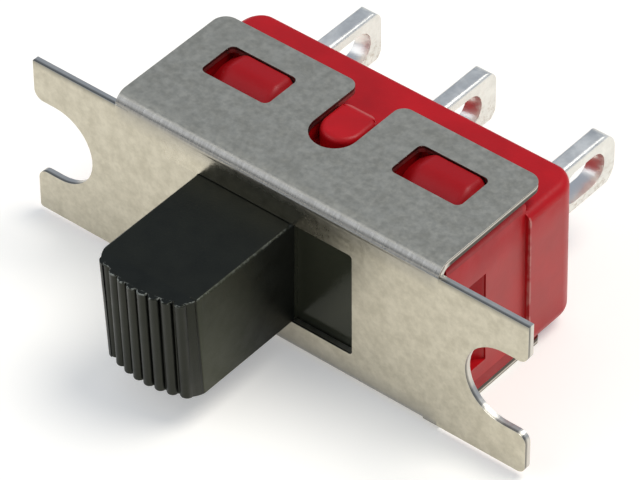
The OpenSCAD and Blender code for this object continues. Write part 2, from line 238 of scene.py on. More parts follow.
print("stage: bracket")
sheet = {"halfWidth": 6.35, "halfHeight": 3.325, "thickness": 0.25, "bend": 0.5}  # the folded channel, in mm
bracketLook = {
    "colour": "#D0C9B6", "shade": "#BCB5A2",  # the plating's lighter and darker clouds
    # the bend's darker tone is painted to dim its highlight and also serves as painted shade just below the
    # bend; its lighter flecks are painted glints; the line tone is a painted dark reflection across the bend
    "bendShade": "#94918B", "bendGlint": "#A5A29C", "bendDarkReflection": "#6F6B61",
    "wall": "#D2CEC4", "fractureAndShade": "#4A443C", "innerWall": "#A79F94",  # sheared walls, their dark fracture tone partly the torn zone and partly painted shade
    "rolled": "#74726A",  # painted dark reflection along the rolled-in edges and the ears' tops
    "bendPolish": 0.06,
    "outerEdgeMm": 0.13, "channelEdgeShare": 0.54, "innerEdgeShare": 0.11,
    "wallRise": 0.45,  # a face that spans more of the thickness than this is a sheared wall
    "closedHalf": 5.2, "closedRear": 5.1,  # walls within these, in mm, are those of windows and notches
    "grainDeep": 0.0012, "scratchDeep": 0.0018, "drawnDeep": 0.016, "patchDeep": 0.003,  # relief, in mm
    "patterns": {
        "cloud": ("even", 0.55, 4.0, 0.6),
        "patch": ("even", 0.22, 4.0, 0.65),
        "grain": ("even", 0.08, 2.0, 0.5),
        "drawn": ("along", 0.10, 3.0, 0.65),
        "scratch": ("slant", 1.6, 6.0, 0.85),
    },
    "zones": {
        "rough": ("patch", 0.3, 0.7, 0.29, 0.41, "LINEAR"),
        "flecks": ("drawn", 0.40, 0.66, 0.0, 1.0, "LINEAR"),
        "scored": ("scratch", 0.30, 0.37, 0.0, 1.0, "LINEAR"),
        "flat": ("y", 0.15, 0.30, 1.0, 0.0, "LINEAR"),
        "raised": ("height", 2.84, 3.04, 0.0, 1.0, "LINEAR"),
        "lineStarts": ("height", 3.02, 3.07, 0.0, 1.0, "LINEAR"),
        "lineEnds": ("height", 3.09, 3.15, 0.45, 0.0, "LINEAR"),
        "belowBend": ("height", 2.30, 2.86, 0.0, 0.5, "LINEAR"),
        "offEars": ("across", 6.05, 6.40, 1.0, 0.0, "LINEAR"),
        "nearTop": ("z", 2.70, 3.03, 0.0, 0.85, "SMOOTHSTEP"),
        "behindBend": ("y", 0.4, 0.6, 0.0, 1.0, "LINEAR"),
        "burnish": ("z", 2.60, 2.85, 0.14, 0.0, "LINEAR"),
        "nearKnob": ("fromKnob", 1.95, 3.9, 1.0, 0.0, "LINEAR"),
        "rollStarts": ("depth", 0.01, 0.07, 0.0, 1.0, "LINEAR"),
        "rollEnds": ("depth", 0.17, 0.26, 1.0, 0.0, "LINEAR"),
        "earRollEnds": ("depth", 0.30, 0.50, 0.8, 0.0, "LINEAR"),
        "deepInNotch": ("depth", 0.30, 0.55, 0.0, 1.0, "LINEAR"),
        "deepInEnd": ("depth", 0.32, 0.55, 0.0, 1.0, "LINEAR"),
    },
    "limits": {
        "onFront": ("y", "LESS_THAN", 0.16),
        "onChannel": ("across", "LESS_THAN", sheet["halfWidth"] + 0.02),
        "onEar": ("across", "GREATER_THAN", sheet["halfWidth"]),
        "aboveSlot": ("z", "GREATER_THAN", 1.9),
    },
    "meetings": {
        # the first three mark the bend's painted highlight tone, the painted shade just below the bend and
        # the painted dark reflection line across it; the next three a painted dark reflection along the
        # rolled-in edges and the ears' tops; the seventh the torn ends' dark tone, partly painted shade
        "bend": ("flat", "raised", "onChannel"),
        "besideBend": ("belowBend", "offEars", "onFront"),
        "bendDarkReflection": ("onChannel", "lineStarts", "lineEnds", "onFront"),
        "earTop": ("nearTop", "onEar"),
        "rolledIn": ("rollStarts", "rollEnds"),
        "earRoll": ("earRollEnds", "onEar", "rollStarts"),
        "tornShadedEnd": ("deepInEnd", "behindBend"),
        "burnished": ("burnish", "aboveSlot", "nearKnob", "onFront"),
    },
    "knobX": -1.15,  # the knob's middle at rest, in mm
}


def platedSteel():
    # tin-plated sheet steel, blanked and folded: semi-bright and cloudy; on the bends a darker tone with
    # lighter flecks, painted to set their highlight, a painted dark reflection line across them and painted
    # shade just below them; the sheared walls burnished and torn grey, the torn tone darkened further as
    # painted shade in the windows and on the plates' outer walls; a painted dark reflection along the
    # rolled-in edges and the ears' tops;
    # thumbs have burnished the strip above the slot, which mirrors the knob more sharply;
    # the grain is drawn coarser than the real one, so that it shows
    look = bracketLook
    material, tree, shader, where = newMaterial("tinPlatedSheetSteel")
    along = addNode(tree, "ShaderNodeMapping", {}, {"Vector": where, "Scale": (1.0, 0.10, 0.10)})
    slant = addNode(tree, "ShaderNodeMapping", {}, {
        "Vector": where, "Rotation": (0, 0, 0.9), "Scale": (1.0, 0.03, 1.0)})
    parts = addNode(tree, "ShaderNodeSeparateXYZ", {}, {0: where}).outputs
    across = addNode(tree, "ShaderNodeMath", {"operation": "ABSOLUTE"}, {0: parts["X"]})
    height = addNode(tree, "ShaderNodeMath", {"operation": "ABSOLUTE"}, {0: parts["Z"]})
    fromKnob = addNode(tree, "ShaderNodeMath", {"operation": "SUBTRACT"}, {
        0: parts["X"], 1: look["knobX"] * mm})
    fromKnob = addNode(tree, "ShaderNodeMath", {"operation": "ABSOLUTE"}, {0: fromKnob})
    depth, wall, closed = (addNode(tree, "ShaderNodeAttribute", {"attribute_name": name}).outputs["Fac"]
                           for name in ("sheetDepth", "shearedWall", "closedWall"))
    lengths = {"y": parts["Y"], "z": parts["Z"], "across": across, "height": height, "fromKnob": fromKnob}
    found = layOut(tree, look, {"even": where, "along": along, "slant": slant}, lengths, {"depth": depth})
    bend = found["bend"]

    mottle = addNode(tree, "ShaderNodeMath", {"operation": "MULTIPLY_ADD"}, {
        0: found["patch"], 1: 0.8, 2: found["cloud"]})
    clouded = addNode(tree, "ShaderNodeMapRange", {}, {0: mottle, 1: 0.72, 2: 1.08})
    # the bend's tone, darker to dim its highlight, with painted glints
    onBend = addNode(tree, "ShaderNodeMix", colourMix, {
        0: found["flecks"], 6: hexColour(look["bendShade"]), 7: hexColour(look["bendGlint"])})
    # the walls' dark fracture tone is partly the torn zone and partly painted shade in the windows and on the
    # plates' outer walls
    inner = addNode(tree, "ShaderNodeMix", colourMix, {
        0: found["deepInNotch"], 6: hexColour(look["fractureAndShade"]), 7: hexColour(look["innerWall"])})
    outer = addNode(tree, "ShaderNodeMix", colourMix, {
        0: found["tornShadedEnd"], 6: hexColour(look["wall"]), 7: hexColour(look["fractureAndShade"])})
    tornAndShaded = addNode(tree, "ShaderNodeMix", colourMix, {0: closed, 6: outer.outputs[2], 7: inner.outputs[2]})
    # the darker tone along the rolled-in edges and on the ears' tops is a painted dark reflection
    rolled = addNode(tree, "ShaderNodeMath", {"operation": "MAXIMUM"}, {
        0: found["rolledIn"], 1: found["earRoll"]})
    tone = addNode(tree, "ShaderNodeMix", colourMix, {
        0: clouded, 6: hexColour(look["shade"]), 7: hexColour(look["colour"])})
    # painted shade below the bend, the bend's painted highlight tone, a painted dark reflection line, a
    # painted dark reflection on the ears' tops, the sheared walls with their partly painted shade, and a
    # painted dark reflection along rolled-in edges
    for share, coat in ((found["besideBend"], hexColour(look["bendShade"])),
                        (bend, onBend.outputs[2]),
                        (found["bendDarkReflection"], hexColour(look["bendDarkReflection"])),
                        (found["earTop"], hexColour(look["rolled"])),
                        (wall, tornAndShaded.outputs[2]),
                        (rolled, hexColour(look["rolled"]))):
        tone = addNode(tree, "ShaderNodeMix", colourMix, {0: share, 6: tone.outputs[2], 7: coat})
    tree.links.new(tone.outputs[2], shader.inputs["Base Color"])
    shader.inputs["Metallic"].default_value = 1.0

    rough = addNode(tree, "ShaderNodeMath", {"operation": "MULTIPLY_ADD"}, {
        0: bend, 1: -look["bendPolish"], 2: found["rough"]})
    rough = addNode(tree, "ShaderNodeMath", {"operation": "SUBTRACT"}, {0: rough, 1: found["burnished"]})
    tree.links.new(rough.outputs[0], shader.inputs["Roughness"])

    drawnShare = addNode(tree, "ShaderNodeMath", {"operation": "MULTIPLY_ADD"}, {0: wall, 1: 0.5, 2: bend})
    streak = addNode(tree, "ShaderNodeMath", product, {0: found["drawn"], 1: drawnShare})
    normal = addNode(tree, "ShaderNodeBump", {}, {
        "Height": found["grain"], "Distance": look["grainDeep"] * mm})
    for relief, deep in ((found["scored"], look["scratchDeep"]), (streak, look["drawnDeep"]),
                         (found["patch"], look["patchDeep"])):
        normal = addNode(tree, "ShaderNodeBump", {}, {
            "Height": relief, "Distance": deep * mm, "Normal": normal})
    tree.links.new(normal.outputs[0], shader.inputs["Normal"])
    return material


def sheetDepth(point):
    # how deep a point in mm lies in the sheet: 0 on the outer side, 1 on the inner side
    y, z, t, bend = point.y, abs(point.z), sheet["thickness"], sheet["bend"]
    top = sheet["halfHeight"]
    if abs(point.x) > sheet["halfWidth"] + 0.01:
        return y / t
    if y < bend and z > top - bend:
        return (bend - math.hypot(y - bend, z - top + bend)) / t
    if z > top - t - 0.02:
        return (top - z) / t
    return y / t


def bracketEdge(edge, middle):
    # the outer side of a blanked edge rolls in, most of all on the ears; the inner side stays crisp
    depths = [sheetDepth(vert.co / mm) for vert in edge.verts]
    if max(depths) >= 0.02:
        return bracketLook["innerEdgeShare"]
    return 1.0 if abs(middle.x) > sheet["halfWidth"] + 0.02 else bracketLook["channelEdgeShare"]


def markSheet(mesh):
    # the depth in the sheet at each corner, and which faces are sheared walls
    depths = [min(max(sheetDepth(vert.co / mm), 0.0), 1.0) for vert in mesh.vertices]
    mesh.attributes.new("sheetDepth", "FLOAT", "POINT").data.foreach_set("value", depths)

    def isWall(face):
        own = [depths[i] for i in face.vertices]
        return max(own) - min(own) > bracketLook["wallRise"]

    def isClosed(face):
        spot = face.center / mm
        inPlate = abs(spot.z) > sheet["halfHeight"] - sheet["thickness"] and spot.y > sheet["bend"]
        within = abs(spot.x) < bracketLook["closedHalf"] and spot.y < bracketLook["closedRear"]
        return isWall(face) and inPlate and within

    markFaces(mesh, "shearedWall", isWall)
    markFaces(mesh, "closedWall", isClosed)


bracket = mergedCopy("bracket", "foldedBracket", platedSteel())
soften(bracket, bracketLook["outerEdgeMm"], bracketEdge)
settleNormals(bracket)
markSheet(bracket.data)
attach(bracket, "switch_body")
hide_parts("bracket")

print("stage: case")
caseLook = {
    "colour": "#BF0B15", "shade": "#B00A13",  # the moulding's lighter and darker clouds
    # the pale pink is a painted sheen on the end faces and a painted highlight along the flange's front
    # ridges and the tongue's rear edge; the deeper red after it is painted shade on the bosses in the windows
    "rubbed": "#CC8A80", "bossShade": "#A3070F",
    "gloss": 0.28,
    "edgeMm": 0.05, "edgeShare": 0.7,
    "inside": 0.004,  # the rounded shell stays this far inside the CAD solid, in mm
    "halfWidth": 6.51, "lean": 0.9,
    "flangeFront": 4.36, "flangeBack": 6.83, "flangeTop": 2.50, "flangeBottom": -3.04,
    "cornerR": 0.78, "lowR": 0.56, "endTopR": 0.36, "rearTopR": 0.16,
    "frontEdge": (4.2, 4.5), "frontEdgeX": 6.3, "frontEdgeTall": 1.0,  # the flange's upright front edges
    "blockInset": 0.07, "blockOverlap": 0.06,
    "pocketFloor": 2.35, "pocketHalf": 1.42, "pocketFront": 2.42, "pocketRear": 4.22,
    "skirt": 0.1,  # bosses and tongues reach this far below the pocket's floor, in mm
    "notchX": -0.02, "notchHalf": 0.88, "notchReach": 0.94, "notchMiddle": 3.0, "notchRear": 4.20,
    "notchFloor": 2.37,
    "tongueX": -0.07, "tongueTop": 3.215, "tongueR": 0.74, "tongueRearR": 0.32, "tongueEdge": 0.2,
    "tongueFront": 2.72, "tongueRear": 4.36,
    "slopeX": (5.86, 6.27), "slopeY": (1.90, 2.44), "slopeZ": (-2.06, 1.44),
    "skinDeep": 0.0022, "flowDeep": 0.006,  # relief, in mm
    "patterns": {
        "cloud": ("even", 1.4, 3.0, 0.5),
        "flow": ("even", 0.45, 3.0, 0.5),
        "skin": ("even", 0.07, 2.0, 0.5),
    },
    "zones": {
        "clouded": ("cloud", 0.35, 0.65, 0.0, 1.0, "LINEAR"),
        "rough": ("flow", 0.3, 0.7, 0.34, 0.46, "LINEAR"),
        "patchy": ("flow", 0.25, 0.75, 0.8, 1.2, "LINEAR"),
        "uneven": ("flow", 0.38, 0.55, 0.15, 0.75, "LINEAR"),
        "facingEnd": ("sideways", 0.45, 1.0, 0.0, 0.20, "SMOOTHSTEP"),
        "outside": ("across", 6.18, 6.26, 0.0, 1.0, "LINEAR"),
        "belowTop": ("z", 2.35, 1.1, 0.0, 1.0, "SMOOTHSTEP"),
        "aboveFoot": ("z", -2.9, -1.5, 0.3, 1.0, "SMOOTHSTEP"),
        "ridge": ("across", 6.38, 6.44, 0.0, 1.0, "SMOOTHSTEP"),
        "flangeFace": ("y", 4.46, 4.41, 0.0, 1.0, "LINEAR"),
        "tongueBack": ("y", 4.235, 4.27, 0.0, 0.35, "LINEAR"),
        "midTongue": ("across", 0.80, 0.70, 0.0, 1.0, "LINEAR"),
        "bossSides": ("across", 1.6, 2.0, 0.0, 1.0, "LINEAR"),
        "bossRear": ("y", 4.24, 4.20, 0.0, 1.0, "LINEAR"),
    },
    "limits": {
        "onTongue": ("height", "GREATER_THAN", 3.06),
        "inWindow": ("height", "GREATER_THAN", 2.6),
    },
    "meetings": {
        # the painted sheen on the ends, the painted highlights on ridge and tongue, and the painted shade on
        # the bosses
        "rubbedEnd": ("facingEnd", "patchy", "outside", "belowTop", "aboveFoot"),
        "rubbedRidge": ("ridge", "flangeFace", "uneven"),
        "rubbedTongue": ("onTongue", "tongueBack", "midTongue"),
        # painted shade on the bosses in the windows, laid on with the deeper red
        "boss": ("inWindow", "bossSides", "bossRear"),
    },
}
# a snap boss, in mm about its middle: how far it rises and falls, and over which stretch
bossLook = {
    "x": 3.76, "y": 3.36, "top": 3.30, "halfX": 1.27, "halfY": 0.745, "columns": 30, "rows": 22,
    "rise": 0.50, "ramp": (-0.95, 0.20),
    "fall": 0.02, "crown": (0.25, 0.74),
    "drop": 0.10, "back": (0.72, 0.80),
    "endDrop": 0.46, "softEnd": (-1.45, -0.62), "crispEnd": (0.95, 1.30), "crispShare": 0.6,
    "leastDeep": 0.05,
}


def mouldedRed():
    # red nylon, injection moulded: satin, a little cloudy, with a painted pale sheen on its ends and painted
    # highlights on its ridges, and painted shade, a deeper red, on the snap bosses in the windows;
    # its faint spark-eroded skin is drawn coarser than the real one, so that it shows
    look = caseLook
    material, tree, shader, where = newMaterial("mouldedRedNylon")
    facing = addNode(tree, "ShaderNodeSeparateXYZ", {}, {
        0: addNode(tree, "ShaderNodeNewGeometry").outputs["Normal"]})
    sideways = addNode(tree, "ShaderNodeMath", {"operation": "ABSOLUTE"}, {0: facing})
    parts = addNode(tree, "ShaderNodeSeparateXYZ", {}, {0: where}).outputs
    across = addNode(tree, "ShaderNodeMath", {"operation": "ABSOLUTE"}, {0: parts["X"]})
    height = addNode(tree, "ShaderNodeMath", {"operation": "ABSOLUTE"}, {0: parts["Z"]})
    found = layOut(tree, look, {"even": where},
                   {"y": parts["Y"], "z": parts["Z"], "across": across, "height": height},
                   {"sideways": sideways})

    # painted sheen and highlights, then painted shade on the bosses
    rubbed = found["rubbedEnd"]
    for name in ("rubbedRidge", "rubbedTongue"):
        rubbed = addNode(tree, "ShaderNodeMath", {"operation": "MAXIMUM"}, {0: rubbed, 1: found[name]})
    tone = addNode(tree, "ShaderNodeMix", colourMix, {
        0: found["clouded"], 6: hexColour(look["shade"]), 7: hexColour(look["colour"])})
    for share, coat in ((rubbed, "rubbed"), (found["boss"], "bossShade")):
        tone = addNode(tree, "ShaderNodeMix", colourMix, {
            0: share, 6: tone.outputs[2], 7: hexColour(look[coat])})
    tree.links.new(tone.outputs[2], shader.inputs["Base Color"])
    tree.links.new(found["rough"].outputs[0], shader.inputs["Roughness"])
    shader.inputs["Specular IOR Level"].default_value = look["gloss"]
    normal = addNode(tree, "ShaderNodeBump", {}, {"Height": found["skin"], "Distance": look["skinDeep"] * mm})
    normal = addNode(tree, "ShaderNodeBump", {}, {
        "Height": found["flow"], "Distance": look["flowDeep"] * mm, "Normal": normal})
    tree.links.new(normal.outputs[0], shader.inputs["Normal"])
    return material


def smoothStep(value, start, end):
    t = min(max((value - start) / (end - start), 0.0), 1.0)
    return t * t * (3 - 2 * t)


def quarterTurn(steps):
    return [math.pi / 2 * k / steps for k in range(steps + 1)]


def flangeShell():
    # the flange's rounded outside, drawn as rings that follow its plan and run round its corners
    look = caseLook
    lean = math.tan(math.radians(look["lean"]))
    top, bottom = look["flangeTop"] - look["inside"], look["flangeBottom"] + look["inside"]
    centreY = look["flangeBack"] - look["inside"] - look["cornerR"]
    steps, arc = 8, 12

    def ring(isLow, theta):
        # theta runs from 0 on the upright side to a quarter turn on the flat face; q goes round a corner
        points = []
        for side in (-1, 1):
            run = [(0.0, True)] + [(k / arc, False) for k in range(arc + 1)]
            for q, isFront in (reversed(run) if side == 1 else run):
                phi = q * math.pi / 2
                radius = look["lowR"]
                if not isLow:
                    radius = look["endTopR"] + (look["rearTopR"] - look["endTopR"]) * smoothStep(q, 0, 1)
                rise = radius * (1 - math.sin(theta))
                z = bottom + rise if isLow else top - rise
                half = look["halfWidth"] - z * lean - look["inside"]
                bend = look["cornerR"] - radius * (1 - math.cos(theta))
                x = half - look["cornerR"] + bend * math.cos(phi)
                y = look["flangeFront"] - 0.4 if isFront else centreY + bend * math.sin(phi)
                points.append((side * x, y, z))
        return points

    angles = quarterTurn(steps)
    rings = [ring(True, angle) for angle in reversed(angles)] + [ring(False, angle) for angle in angles]
    return ringSolid("flangeShell", rings)


def bossMesh(centreX, side):
    # a snap boss with a crowned back: long ramp in front, short drop behind, softer at one end than the other
    look = bossLook
    columns, rows = look["columns"], look["rows"]
    low = caseLook["pocketFloor"] - caseLook["skirt"]
    bm = bmesh.new()
    top, base = [], []
    for j in range(rows + 1):
        v = -look["halfY"] + 2 * look["halfY"] * j / rows
        crown = look["rise"] * smoothStep(v, *look["ramp"])
        crown -= look["fall"] * smoothStep(v, *look["crown"]) + look["drop"] * smoothStep(v, *look["back"])
        line, under = [], []
        for i in range(columns + 1):
            u = -look["halfX"] + 2 * look["halfX"] * i / columns
            ends = smoothStep(u, *look["softEnd"])
            ends *= 1 - look["crispShare"] * smoothStep(u, *look["crispEnd"])
            z = look["top"] - look["rise"] + crown - look["endDrop"] * (1 - ends)
            x, y, z = centreX + u, look["y"] + v, max(z, low + look["leastDeep"])
            line.append(bm.verts.new(Vector((x, y, side * z)) * mm))
            under.append(bm.verts.new(Vector((x, y, side * low)) * mm))
        top.append(line)
        base.append(under)
    for grid in (top, base):
        for j in range(rows):
            for i in range(columns):
                bm.faces.new((grid[j][i], grid[j][i + 1], grid[j + 1][i + 1], grid[j + 1][i]))
    for j in range(rows):
        for i in (0, columns):
            bm.faces.new((top[j][i], top[j + 1][i], base[j + 1][i], base[j][i]))
    for i in range(columns):
        for j in (0, rows):
            bm.faces.new((top[j][i], top[j][i + 1], base[j][i + 1], base[j][i]))
    return outwardMesh(bm, "boss")


def tongueMesh(side):
    # the tongue in the notch: a round front end and softened edges all round
    look = caseLook
    edge, top, front = look["tongueEdge"], look["tongueTop"], look["tongueFront"] + look["tongueR"]
    halfTurn = [math.pi * k / 20 for k in range(21)]
    levels = [(look["pocketFloor"] - look["skirt"], 0.0)]
    levels += [(top - edge * (1 - math.sin(t)), edge * (1 - math.cos(t))) for t in quarterTurn(6)]
    rings = []
    for z, inset in levels:
        r, rearR, rear = look["tongueR"] - inset, look["tongueRearR"] - inset, look["tongueRear"] - inset
        points = [(-r * math.cos(t), front - r * math.sin(t)) for t in halfTurn]
        points += [(r - rearR + rearR * math.cos(t), rear - rearR + rearR * math.sin(t))
                   for t in quarterTurn(6)]
        points += [(-r + rearR - rearR * math.cos(t), rear - rearR + rearR * math.sin(t))
                   for t in reversed(quarterTurn(6))]
        rings.append([(look["tongueX"] + x, y, side * z) for x, y in points])
    return ringSolid("tongue", rings)


def caseEdge(edge, middle):
    look = caseLook
    first, last = look["frontEdge"]
    tall = abs(edge.verts[0].co.z - edge.verts[1].co.z) > look["frontEdgeTall"] * mm
    if first < middle.y < last and abs(middle.x) > look["frontEdgeX"] and tall:
        return 1.0
    return look["edgeShare"]


def roundedCase(finish):
    # the CAD case with its edges softened and the flange trimmed to its rounded outside
    look = caseLook
    case = soften(mergedCopy("case", "contactCase", finish), look["edgeMm"], caseEdge, 4)
    inner, rear = look["halfWidth"] - look["blockInset"], look["flangeFront"] + look["blockOverlap"]
    plan = [(-inner, -1), (inner, -1), (inner, rear), (-inner, rear)]
    shell = newPiece("shell", flangeShell(), finish)
    combine(shell, newPiece("block", prism("block", plan, [(-5, 0, 0), (5, 0, 0)]), finish), "UNION")
    return combine(case, shell, "INTERSECT")


def fitSide(case, side, finish):
    # the bosses and the tongue on the upper (1) or lower (-1) side, each in its own pocket
    look = caseLook
    floor, clear = look["pocketFloor"], 4  # tools reach past the case, to 4 mm
    front, rear = look["pocketFront"], look["pocketRear"]
    for x in (-bossLook["x"], bossLook["x"]):
        first, last = x - look["pocketHalf"], x + look["pocketHalf"]
        pocket = prism("pocket", [(first, front), (last, front), (last, rear), (first, rear)],
                       [(side * floor, 0, 0), (side * clear, 0, 0)])
        combine(case, newPiece("pocket", pocket, finish), "DIFFERENCE")
        combine(case, newPiece("boss", bossMesh(x, side), finish), "UNION")
    middle, half, halfTurn = look["notchX"], look["notchHalf"], [math.pi * k / 16 for k in range(17)]
    notch = [(middle - half * math.cos(t), look["notchMiddle"] - look["notchReach"] * math.sin(t))
             for t in halfTurn]
    notch += [(middle + half, look["notchRear"]), (middle - half, look["notchRear"])]
    pocket = prism("pocket", notch, [(side * look["notchFloor"], 0, 0), (side * clear, 0, 0)])
    combine(case, newPiece("pocket", pocket, finish), "DIFFERENCE")
    combine(case, newPiece("tongue", tongueMesh(side), finish), "UNION")


def slopeEnd(case, end, finish):
    # the recess in the right (1) or left (-1) end face runs out in a slope at its rear
    look = caseLook
    (inner, outer), (front, rear) = look["slopeX"], look["slopeY"]
    lean = end * math.tan(math.radians(look["lean"]))
    plan = [(end * outer, rear), (end * inner, rear), (end * inner, front)]
    slope = prism("slope", plan, [(z, 0, -z * lean) for z in look["slopeZ"]])
    combine(case, newPiece("slope", slope, finish), "UNION")


red = mouldedRed()
case = roundedCase(red)
for side in (-1, 1):
    fitSide(case, side, red)
    slopeEnd(case, side, red)
settleNormals(case, 38)
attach(case, "switch_body")
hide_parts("case")

print("stage: slide")
slideLook = {
    "colour": "#0B0D0C", "shade": "#060706",  # the moulding's lighter and darker clouds
    # the pale tone is wear with a painted highlight along the upper edge, the olive tone a painted sheen on
    # the side and behind the panel, the near-black a painted shade down the crease
    "wearAndGlint": "#7C7E77", "oliveSheen": "#3C3D2F", "creaseShade": "#020202",
    "gloss": 0.33, "glossTint": "#F2F6D8",
    "ribPolish": 0.10, "coveredRoughness": 0.15, "coveredShare": 0.6,
    "edgeMm": 0.10, "rimShare": 0.7, "edgeShare": 0.3, "rimFront": -0.1, "rimDeep": 0.3,
    "middleX": -1.15, "top": 1.94, "bottom": -2.06, "front": -5.27, "crestR": 3.70, "draft": 3.4,
    "ribPitch": 0.405, "ribCount": 8, "ribR": 0.195, "ribDepth": 0.16, "ribEdgeMm": 0.04, "ribSides": 28,
    "ribShort": 0.008, "ribLean": 0.08, "ribShift": 0.022, "firstSetBack": 0.03,
    "creaseY": -4.42,  # where the corner between ribs and side meets the top
    "wearFront": -0.3, "wearFlat": 0.97,
    "skinDeep": 0.003, "cloudDeep": 0.010, "creaseDeep": 0.03,  # relief, in mm
    "patterns": {
        "cloud": ("even", 0.7, 4.0, 0.6),
        "skin": ("even", 0.06, 2.0, 0.5),
        "chips": ("even", 0.13, 2.0, 0.6),
    },
    "zones": {
        "clouded": ("cloud", 0.35, 0.65, 0.0, 1.0, "LINEAR"),
        "rough": ("cloud", 0.3, 0.7, 0.39, 0.55, "LINEAR"),
        "chipped": ("chips", 0.47, 0.60, 0.0, 1.0, "LINEAR"),
        "rim": ("z", 1.865, 1.9175, 0.0, 1.0, "LINEAR"),
        "forward": ("y", -4.4, -3.2, 1.0, 0.22, "LINEAR"),
        "onSide": ("x", 0.45, 0.51, 0.0, 1.0, "LINEAR"),
        "handled": ("y", -1.0, -4.0, 0.0, 1.0, "SMOOTHSTEP"),
        "downward": ("z", 1.8, -0.6, 0.5, 1.0, "LINEAR"),
        # painted shade down the crease between side and ribs
        "atCrease": ("offCrease", 0.045, 0.0, 0.0, 1.0, "SMOOTHSTEP"),
    },
    "limits": {
        "ribbed": ("pastCrease", "LESS_THAN", 0.0),
        "behindCrease": ("pastCrease", "GREATER_THAN", 0.0),
        "covered": ("y", "GREATER_THAN", 0.1),
    },
    "meetings": {
        "scuffsAndGlint": ("chipped", "rim", "forward", "edgeWear"),
        "sideSheen": ("handled", "onSide", "edgeWear", "downward", "behindCrease"),
        "crease": ("atCrease", "onSide"),
    },
}


def mouldedBlack():
    # black glass-filled nylon, injection moulded: satin and slightly mottled, pale along its upper edge with
    # scuffs and a painted highlight, with a painted olive sheen on its side, stronger lower down, and painted
    # shade as a dark line down the corner between side and ribs; behind the panel it is smooth, carries the
    # same painted olive sheen and mirrors the floor, and its skin is drawn coarse enough to show
    look = slideLook
    material, tree, shader, where = newMaterial("mouldedBlackNylon")
    parts = addNode(tree, "ShaderNodeSeparateXYZ", {}, {0: where}).outputs
    slope = math.radians(look["draft"])
    leaning = addNode(tree, "ShaderNodeMath", {"operation": "MULTIPLY_ADD"}, {
        0: parts["Z"], 1: slope, 2: parts["Y"]})
    pastCrease = addNode(tree, "ShaderNodeMath", {"operation": "SUBTRACT"}, {
        0: leaning, 1: (look["creaseY"] + look["top"] * slope) * mm})
    offCrease = addNode(tree, "ShaderNodeMath", {"operation": "ABSOLUTE"}, {0: pastCrease})
    edgeWear = addNode(tree, "ShaderNodeAttribute", {"attribute_name": "edgeWear"}).outputs["Fac"]
    found = layOut(tree, look, {"even": where},
                   {"x": parts["X"], "y": parts["Y"], "z": parts["Z"],
                    "pastCrease": pastCrease, "offCrease": offCrease},
                   {"edgeWear": edgeWear})

    # a painted olive sheen behind the panel; the loop below lays pale wear with a painted highlight, the
    # painted olive sheen on the side and the painted shade in the crease
    smooth = addNode(tree, "ShaderNodeMath", product, {0: found["covered"], 1: look["coveredShare"]})
    tone = addNode(tree, "ShaderNodeMix", colourMix, {
        0: found["clouded"], 6: hexColour(look["shade"]), 7: hexColour(look["colour"])})
    for share, coat in ((found["scuffsAndGlint"], "wearAndGlint"), (found["sideSheen"], "oliveSheen"),
                        (found["crease"], "creaseShade"), (smooth, "oliveSheen")):
        tone = addNode(tree, "ShaderNodeMix", colourMix, {
            0: share, 6: tone.outputs[2], 7: hexColour(look[coat])})
    tree.links.new(tone.outputs[2], shader.inputs["Base Color"])

    rough = addNode(tree, "ShaderNodeMath", {"operation": "MULTIPLY_ADD"}, {
        0: found["ribbed"], 1: -look["ribPolish"], 2: found["rough"]})
    rough = addNode(tree, "ShaderNodeMix", {}, {0: found["covered"], 2: rough, 3: look["coveredRoughness"]})
    tree.links.new(rough.outputs[0], shader.inputs["Roughness"])
    shader.inputs["Specular IOR Level"].default_value = look["gloss"]
    shader.inputs["Specular Tint"].default_value = hexColour(look["glossTint"])

    normal = addNode(tree, "ShaderNodeBump", {}, {"Height": found["skin"], "Distance": look["skinDeep"] * mm})
    normal = addNode(tree, "ShaderNodeBump", {}, {
        "Height": found["cloud"], "Distance": look["cloudDeep"] * mm, "Normal": normal})
    normal = addNode(tree, "ShaderNodeBump", {"invert": True}, {
        "Height": found["crease"], "Distance": look["creaseDeep"] * mm, "Normal": normal})
    tree.links.new(normal.outputs[0], shader.inputs["Normal"])
    return material


def leanShift(z):
    # how far the knob's front stands back at height z
    return (slideLook["top"] - z) * math.tan(math.radians(slideLook["draft"]))


def ribBed():
    # keeps everything but the ribs: a smooth bed at groove depth between the two plain corners
    look = slideLook
    steps, clear = 24, 9  # the bed's solid reaches past the slide, to 9 mm
    crestY = look["front"] + look["crestR"]
    half = (look["ribCount"] - 1) / 2 * look["ribPitch"]
    bedR = look["crestR"] - look["ribDepth"]
    outline = [(-clear, clear), (-clear, -clear), (-half, -clear)]
    for k in range(steps + 1):
        x = -half + 2 * half * k / steps
        outline.append((x, crestY - math.sqrt(bedR ** 2 - x * x)))
    outline += [(half, -clear), (clear, -clear), (clear, clear)]
    outline = [(x + look["middleX"], y) for x, y in outline]
    return prism("ribBed", outline, [(z, leanShift(z), 0) for z in (look["top"] + 1, look["bottom"] - 1)])


def newGeometryTree(name, sizes):
    # an empty tree with one named input for each size, and each input's own identifier
    tree = bpy.data.node_groups.new(name, "GeometryNodeTree")
    tree.interface.new_socket("Geometry", in_out="OUTPUT", socket_type="NodeSocketGeometry")
    keys = {}
    for label, (kind, value) in sizes.items():
        keys[label] = tree.interface.new_socket(label, in_out="INPUT", socket_type=kind).identifier
    return tree, keys, addNode(tree, "NodeGroupInput").outputs


def endTree(tree, shape, finish):
    # instances are made real and get their finish, because an export drops them otherwise
    real = addNode(tree, "GeometryNodeRealizeInstances", {}, {"Geometry": shape})
    finished = addNode(tree, "GeometryNodeSetMaterial", {}, {"Geometry": real, "Material": finish})
    addNode(tree, "NodeGroupOutput", {}, {0: finished})


